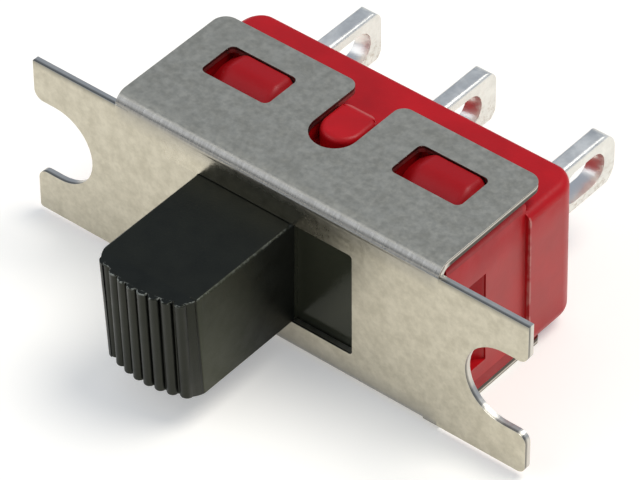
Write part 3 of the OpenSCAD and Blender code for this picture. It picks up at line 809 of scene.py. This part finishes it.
def ribTree():
    # upright ribs spread along the knob's crest, leaning with its front
    look = slideLook
    tall = look["top"] - look["bottom"]
    sizes = {"Rib Count": ("NodeSocketInt", look["ribCount"]),
             "Pitch": ("NodeSocketFloat", look["ribPitch"] * mm),
             "Crest Radius": ("NodeSocketFloat", (look["crestR"] - look["ribR"]) * mm),
             "Rib Radius": ("NodeSocketFloat", look["ribR"] * mm),
             "Height": ("NodeSocketFloat", (tall - look["ribShort"]) * mm),
             "Draft Slope": ("NodeSocketFloat", math.tan(math.radians(look["draft"]))),
             "Side Lean": ("NodeSocketFloat", look["ribLean"] / tall),
             "First Set Back": ("NodeSocketFloat", look["firstSetBack"] * mm),
             "Finish": ("NodeSocketMaterial", None)}
    tree, keys, given = newGeometryTree("gripRibs", sizes)

    # each rib's place: evenly spaced across, as far forward as the crest's circle reaches there
    gaps = addNode(tree, "ShaderNodeMath", {"operation": "SUBTRACT"}, {0: given["Rib Count"], 1: 1.0})
    half = addNode(tree, "ShaderNodeMath", product, {0: gaps, 1: 0.5})
    index = addNode(tree, "GeometryNodeInputIndex")
    fromMiddle = addNode(tree, "ShaderNodeMath", {"operation": "SUBTRACT"}, {0: index, 1: half})
    along = addNode(tree, "ShaderNodeMath", product, {0: fromMiddle, 1: given["Pitch"]})
    radiusSquared = addNode(tree, "ShaderNodeMath", {"operation": "POWER"}, {
        0: given["Crest Radius"], 1: 2.0})
    alongSquared = addNode(tree, "ShaderNodeMath", {"operation": "POWER"}, {0: along, 1: 2.0})
    rest = addNode(tree, "ShaderNodeMath", {"operation": "SUBTRACT"}, {0: radiusSquared, 1: alongSquared})
    reach = addNode(tree, "ShaderNodeMath", {"operation": "SQRT"}, {0: rest})
    isFirst = addNode(tree, "ShaderNodeMath", {"operation": "LESS_THAN"}, {0: index, 1: 0.5})
    forward = addNode(tree, "ShaderNodeMath", product, {0: isFirst, 1: given["First Set Back"]})
    forward = addNode(tree, "ShaderNodeMath", {"operation": "SUBTRACT"}, {0: forward, 1: reach})
    spot = addNode(tree, "ShaderNodeCombineXYZ", {}, {0: along, 1: forward})
    points = addNode(tree, "GeometryNodePoints", {}, {"Count": given["Rib Count"], "Position": spot})

    # one round rib, set back further down and aside further up
    rib = addNode(tree, "GeometryNodeMeshCylinder", {}, {
        "Vertices": look["ribSides"], "Radius": given["Rib Radius"], "Depth": given["Height"]})
    position = addNode(tree, "GeometryNodeInputPosition")
    z = addNode(tree, "ShaderNodeSeparateXYZ", {}, {0: position}).outputs["Z"]
    middle = addNode(tree, "ShaderNodeMath", product, {0: given["Height"], 1: 0.5})
    below = addNode(tree, "ShaderNodeMath", {"operation": "SUBTRACT"}, {0: middle, 1: z})
    above = addNode(tree, "ShaderNodeMath", {"operation": "ADD"}, {0: middle, 1: z})
    aside = addNode(tree, "ShaderNodeMath", product, {0: above, 1: given["Side Lean"]})
    setBack = addNode(tree, "ShaderNodeMath", product, {0: below, 1: given["Draft Slope"]})
    shift = addNode(tree, "ShaderNodeCombineXYZ", {}, {0: aside, 1: setBack})
    leaned = addNode(tree, "GeometryNodeSetPosition", {}, {"Geometry": rib, "Offset": shift})
    spread = addNode(tree, "GeometryNodeInstanceOnPoints", {}, {"Points": points, "Instance": leaned})
    endTree(tree, spread, given["Finish"])
    return tree, keys, sizes


def grown(name, makeTree, finish):
    # runs a node tree on an empty mesh and keeps its result as a plain mesh
    piece = newPiece(name, bpy.data.meshes.new(name), finish)
    tree, keys, sizes = makeTree()
    modifier = piece.modifiers.new(name, "NODES")
    modifier.node_group = tree
    for label, (kind, value) in sizes.items():
        modifier[keys[label]] = finish if label == "Finish" else value
    return makePlain(piece)


def besideTop(face):
    # the faces beside the knob's flat top, not the top itself nor what is behind the panel
    return face.center.y < slideLook["wearFront"] * mm and face.normal.z < slideLook["wearFlat"]


def slideEdge(edge, middle):
    onRim = middle.y < slideLook["rimFront"] and middle.z > slideLook["top"] - slideLook["rimDeep"]
    return slideLook["rimShare"] if onRim else slideLook["edgeShare"]


black = mouldedBlack()
slide = mergedCopy("slide", "thumbSlide", black)
combine(slide, newPiece("bed", ribBed(), black), "INTERSECT")
soften(slide, slideLook["edgeMm"], slideEdge)
settleNormals(slide)
markFaces(slide.data, "edgeWear", besideTop)
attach(slide, "slide")
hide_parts("slide")

ribs = grown("gripRibs", ribTree, black)
crestMiddle = Vector((slideLook["middleX"] + slideLook["ribShift"], slideLook["front"] + slideLook["crestR"],
                      (slideLook["top"] + slideLook["bottom"]) / 2)) * mm
for vert in ribs.data.vertices:
    vert.co += crestMiddle
soften(ribs, slideLook["ribEdgeMm"], evenly, 2, 60)
markFaces(ribs.data, "edgeWear", besideTop)
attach(ribs, "slide")

print("stage: terminals")
terminalLook = {
    # the eye's tone is a painted highlight on the walls of the soldering eye
    "colour": "#F4F2EA", "shade": "#E2E0D8", "brownTone": "#A5937A", "eyeHighlight": "#F2EEE6",
    "roughness": 0.44, "roughSpread": (-0.06, 0.08), "eyeRoughness": 0.34,
    "tip": 10.645, "halfWidth": 1.035, "edgeMm": 0.11,
    "tipMm": {"left": 0.5, "centre": 0.5, "right": 0.72},
    "eyeHalf": 0.75, "eyeFront": 7, "eyeFromTip": 0.3, "wallTurn": 0.7,
    "grainDeep": 0.004, "cloudDeep": 0.012,  # relief, in mm
    "patterns": {
        "cloud": ("even", 0.6, 4.0, 0.6),
        "grain": ("even", 0.1, 2.0, 0.5),
        "spots": ("even", 0.22, 5.0, 0.75),
    },
    "zones": {
        "clouded": ("cloud", 0.35, 0.65, 0.0, 1.0, "LINEAR"),
        "low": ("z", 0.2, -0.6, 0.15, 1.0, "SMOOTHSTEP"),
        "spotted": ("spots", 0.48, 0.66, 0.0, 0.55, "LINEAR"),
    },
    "limits": {},
    "meetings": {"brownSpotted": ("spotted", "low")},
}


def silverPlate(name, roughness):
    # silver plate over stamped brass: pale and soft-bright, with brownish spots, more of them low on the
    # blades, and on the walls of the soldering eye smoother, with a painted highlight in a lighter tone
    look = terminalLook
    material, tree, shader, where = newMaterial(name)
    parts = addNode(tree, "ShaderNodeSeparateXYZ", {}, {0: where}).outputs
    eye = addNode(tree, "ShaderNodeAttribute", {"attribute_name": "eyeWall"}).outputs["Fac"]
    found = layOut(tree, look, {"even": where}, {"z": parts["Z"]}, {"eye": eye})

    tone = addNode(tree, "ShaderNodeMix", colourMix, {
        0: found["clouded"], 6: hexColour(look["shade"]), 7: hexColour(look["colour"])})
    # brownish spots, more of them low down, then the painted highlight on the eye's walls
    for share, coat in (("brownSpotted", "brownTone"), ("eye", "eyeHighlight")):
        tone = addNode(tree, "ShaderNodeMix", colourMix, {
            0: found[share], 6: tone.outputs[2], 7: hexColour(look[coat])})
    tree.links.new(tone.outputs[2], shader.inputs["Base Color"])
    shader.inputs["Metallic"].default_value = 1.0

    smoothest, roughest = look["roughSpread"]
    rough = addNode(tree, "ShaderNodeMapRange", {}, {
        0: found["cloud"], 1: 0.3, 2: 0.7, 3: roughness + smoothest, 4: roughness + roughest})
    rough = addNode(tree, "ShaderNodeMix", {}, {0: eye, 2: rough, 3: look["eyeRoughness"]})
    tree.links.new(rough.outputs[0], shader.inputs["Roughness"])

    normal = addNode(tree, "ShaderNodeBump", {}, {
        "Height": found["grain"], "Distance": look["grainDeep"] * mm})
    normal = addNode(tree, "ShaderNodeBump", {}, {
        "Height": found["cloud"], "Distance": look["cloudDeep"] * mm, "Normal": normal})
    tree.links.new(normal.outputs[0], shader.inputs["Normal"])
    return material


def roundedTip(r):
    # everything up to a blade's tip, its two corners rounded to radius r
    half, tip, turn = terminalLook["halfWidth"], terminalLook["tip"], quarterTurn(8)
    outline = [(-1, -half)]
    outline += [(tip - r + r * math.sin(t), -half + r - r * math.cos(t)) for t in turn]
    outline += [(tip - r + r * math.cos(t), half - r + r * math.sin(t)) for t in turn]
    outline.append((-1, half))
    # the tool spans all three blades, from 8 mm left of the middle to 8 mm right of it
    return ringSolid("roundedTip", [[(x, y, z) for y, z in outline] for x in (-8, 8)])


def inEye(face):
    # the walls of the soldering eye
    look = terminalLook
    spot = face.center / mm
    along = look["eyeFront"] < spot.y < look["tip"] - look["eyeFromTip"]
    return along and abs(face.normal.x) < look["wallTurn"] and abs(spot.z) < look["eyeHalf"]


silver = silverPlate("silverPlatedBrass", terminalLook["roughness"])
for side in ("left", "centre", "right"):
    blade = mergedCopy("terminal_" + side, side + "Terminal", silver)
    combine(blade, newPiece("tip", roundedTip(terminalLook["tipMm"][side]), silver), "INTERSECT")
    soften(blade, terminalLook["edgeMm"], evenly)
    settleNormals(blade, 40)
    markFaces(blade.data, "eyeWall", inEye)
    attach(blade, "switch_body")
    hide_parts("terminal_" + side)

print("stage: contact")
rockerRoughness = 0.30
# unfilled acetal, moulded: milky and satin, faintly clouded
plungerLook = {
    "colour": "#E4E0D2", "shade": "#D6D1C2", "roughness": 0.42, "metallic": 0.0,
    "grainMm": 0.5, "grainRoughness": 0.5, "grainDeep": 0.006,
}
# hard-drawn steel wire: bright, with faint draw marks
springLook = {
    "colour": "#C4C5C4", "shade": "#A9ABAA", "roughness": 0.26, "metallic": 1.0,
    "grainMm": 0.08, "grainRoughness": 0.7, "grainDeep": 0.002,
    "middleX": -1.15, "front": -3.09, "back": 1.79, "coilR": 0.71, "wireR": 0.11, "turns": 6.0,
    "stepsPerTurn": 24, "wireSides": 12,
}


def cloudedFinish(name, look):
    # a plain finish: one noise mixes its two tones and raises its skin a little
    material, tree, shader, where = newMaterial(name)
    noise = addNode(tree, "ShaderNodeTexNoise", {}, {
        "Vector": where, "Scale": 1 / (look["grainMm"] * mm), "Detail": 3.0,
        "Roughness": look["grainRoughness"]})
    tone = addNode(tree, "ShaderNodeMix", colourMix, {
        0: noise, 6: hexColour(look["shade"]), 7: hexColour(look["colour"])})
    tree.links.new(tone.outputs[2], shader.inputs["Base Color"])
    shader.inputs["Metallic"].default_value = look["metallic"]
    shader.inputs["Roughness"].default_value = look["roughness"]
    normal = addNode(tree, "ShaderNodeBump", {}, {"Height": noise, "Distance": look["grainDeep"] * mm})
    tree.links.new(normal.outputs[0], shader.inputs["Normal"])
    return material


def coilTree():
    # a round wire wound along an upright helix
    look = springLook
    sizes = {"Turns": ("NodeSocketFloat", look["turns"]),
             "Coil Radius": ("NodeSocketFloat", look["coilR"] * mm),
             "Coil Length": ("NodeSocketFloat", (look["back"] - look["front"]) * mm),
             "Wire Radius": ("NodeSocketFloat", look["wireR"] * mm),
             "Finish": ("NodeSocketMaterial", None)}
    tree, keys, given = newGeometryTree("contactCoil", sizes)
    helix = addNode(tree, "GeometryNodeCurveSpiral", {}, {
        "Resolution": look["stepsPerTurn"], "Rotations": given["Turns"], "Start Radius": given["Coil Radius"],
        "End Radius": given["Coil Radius"], "Height": given["Coil Length"]})
    wire = addNode(tree, "GeometryNodeCurvePrimitiveCircle", {}, {
        "Resolution": look["wireSides"], "Radius": given["Wire Radius"]})
    coil = addNode(tree, "GeometryNodeCurveToMesh", {}, {
        "Curve": helix, "Profile Curve": wire, "Fill Caps": True})
    endTree(tree, coil, given["Finish"])
    return tree, keys, sizes


for nodeName, finish in (("rocker_contact", silverPlate("silverPlatedRocker", rockerRoughness)),
                         ("contact_plunger", cloudedFinish("naturalMouldedAcetal", plungerLook))):
    kept = nodes[nodeName]
    kept.data.materials.clear()
    kept.data.materials.append(finish)

coil = grown("contactCoil", coilTree, cloudedFinish("hardDrawnSpringWire", springLook))
for vert in coil.data.vertices:
    x, y, z = vert.co
    vert.co = Vector((x + springLook["middleX"] * mm, z + springLook["front"] * mm, -y))
for face in coil.data.polygons:
    face.use_smooth = True
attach(coil, "slide")
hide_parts("contact_spring")

print("stage: floor, light and camera")
# places and sizes in metres, as the scene has them; a lamp's colour is linear
studio = {
    "floorColour": "#F0EBE0", "floorGlow": 0.30, "floorRoughness": 0.9, "floorGloss": 0.1,
    "floorReach": 1.5, "floorGap": 0.00002,
    "worldColour": "#9FA9BA", "worldStrength": 1.0,
    "lamps": {
        "keyLamp": {"place": (0.17, 0.14, 0.47), "size": 0.30, "watts": 1.55, "colour": (1.0, 0.985, 0.96)},
        "fillLamp": {"place": (-0.25, -0.35, 0.30), "size": 0.50, "watts": 0.65, "colour": (0.96, 0.98, 1.0)},
    },
}


def paleFloor():
    # matt warm white; seen directly or mirrored it glows a little, so it reads as white and keeps its shadow
    material, tree, shader, where = newMaterial("paleFloor")
    shader.inputs["Base Color"].default_value = hexColour(studio["floorColour"])
    shader.inputs["Roughness"].default_value = studio["floorRoughness"]
    shader.inputs["Specular IOR Level"].default_value = studio["floorGloss"]
    shader.inputs["Emission Color"].default_value = hexColour("#FFFFFF")
    ray = addNode(tree, "ShaderNodeLightPath").outputs
    through = addNode(tree, "ShaderNodeMath", {"operation": "MAXIMUM"}, {
        0: ray["Is Glossy Ray"], 1: ray["Is Transmission Ray"]})
    seen = addNode(tree, "ShaderNodeMath", {"operation": "MAXIMUM"}, {0: ray["Is Camera Ray"], 1: through})
    glow = addNode(tree, "ShaderNodeMath", product, {0: seen, 1: studio["floorGlow"]})
    tree.links.new(glow.outputs[0], shader.inputs["Emission Strength"])
    return material


def softLamp(name, place, size, watts, colour):
    # a round area lamp turned towards the part
    data = bpy.data.lights.new(name, "AREA")
    data.shape = "DISK"
    data.size = size
    data.energy = watts
    data.color = colour
    lamp = bpy.data.objects.new(name, data)
    lamp.location = place
    lamp.rotation_euler = (-Vector(place)).to_track_quat("-Z", "Y").to_euler()
    bpy.context.scene.collection.objects.link(lamp)


floorMesh = bpy.data.meshes.new("floor")
reach, level = studio["floorReach"], cadBox[0][2] - studio["floorGap"]
corners = [(-reach, -reach, level), (reach, -reach, level), (reach, reach, level), (-reach, reach, level)]
floorMesh.from_pydata(corners, [], [(0, 1, 2, 3)])
floorMesh.materials.append(paleFloor())
floor = bpy.data.objects.new("floor", floorMesh)
bpy.context.scene.collection.objects.link(floor)

world = bpy.data.worlds.new("softRoom")
world.use_nodes = True
bpy.context.scene.world = world
background = world.node_tree.nodes["Background"]
background.inputs["Color"].default_value = hexColour(studio["worldColour"])
background.inputs["Strength"].default_value = studio["worldStrength"]

for name, lamp in studio["lamps"].items():
    softLamp(name, **lamp)

# angles in degrees, lengths in metres, the lens in mm
view = {
    "azimuth": 39.75, "elevation": 41.93, "roll": -0.46,
    "distance": 0.1518, "target": (-0.00071, 0.0030, -0.002189),
    "lens": 272.6, "sensor": 36, "shiftX": 0.0017, "shiftY": 0.0233, "near": 0.005, "far": 20,
}
azimuth, elevation, roll = (math.radians(view[key]) for key in ("azimuth", "elevation", "roll"))
back = Vector((math.sin(azimuth) * math.cos(elevation), -math.cos(azimuth) * math.cos(elevation),
               math.sin(elevation)))
right = Vector((math.cos(azimuth), math.sin(azimuth), 0))
up = back.cross(right)
turnedRight = right * math.cos(roll) + up * math.sin(roll)
turnedUp = -right * math.sin(roll) + up * math.cos(roll)
place = Vector(view["target"]) + back * view["distance"]
lens = bpy.data.cameras.new("camera")
lens.sensor_width = view["sensor"]
lens.lens = view["lens"]
lens.shift_x = view["shiftX"]
lens.shift_y = view["shiftY"]
lens.clip_start = view["near"]
lens.clip_end = view["far"]
camera = bpy.data.objects.new("camera", lens)
camera.matrix_world = Matrix((
    (turnedRight.x, turnedUp.x, back.x, place.x),
    (turnedRight.y, turnedUp.y, back.y, place.y),
    (turnedRight.z, turnedUp.z, back.z, place.z),
    (0, 0, 0, 1),
))
bpy.context.scene.collection.objects.link(camera)
bpy.context.scene.camera = camera
bpy.context.scene.view_settings.view_transform = "Standard"
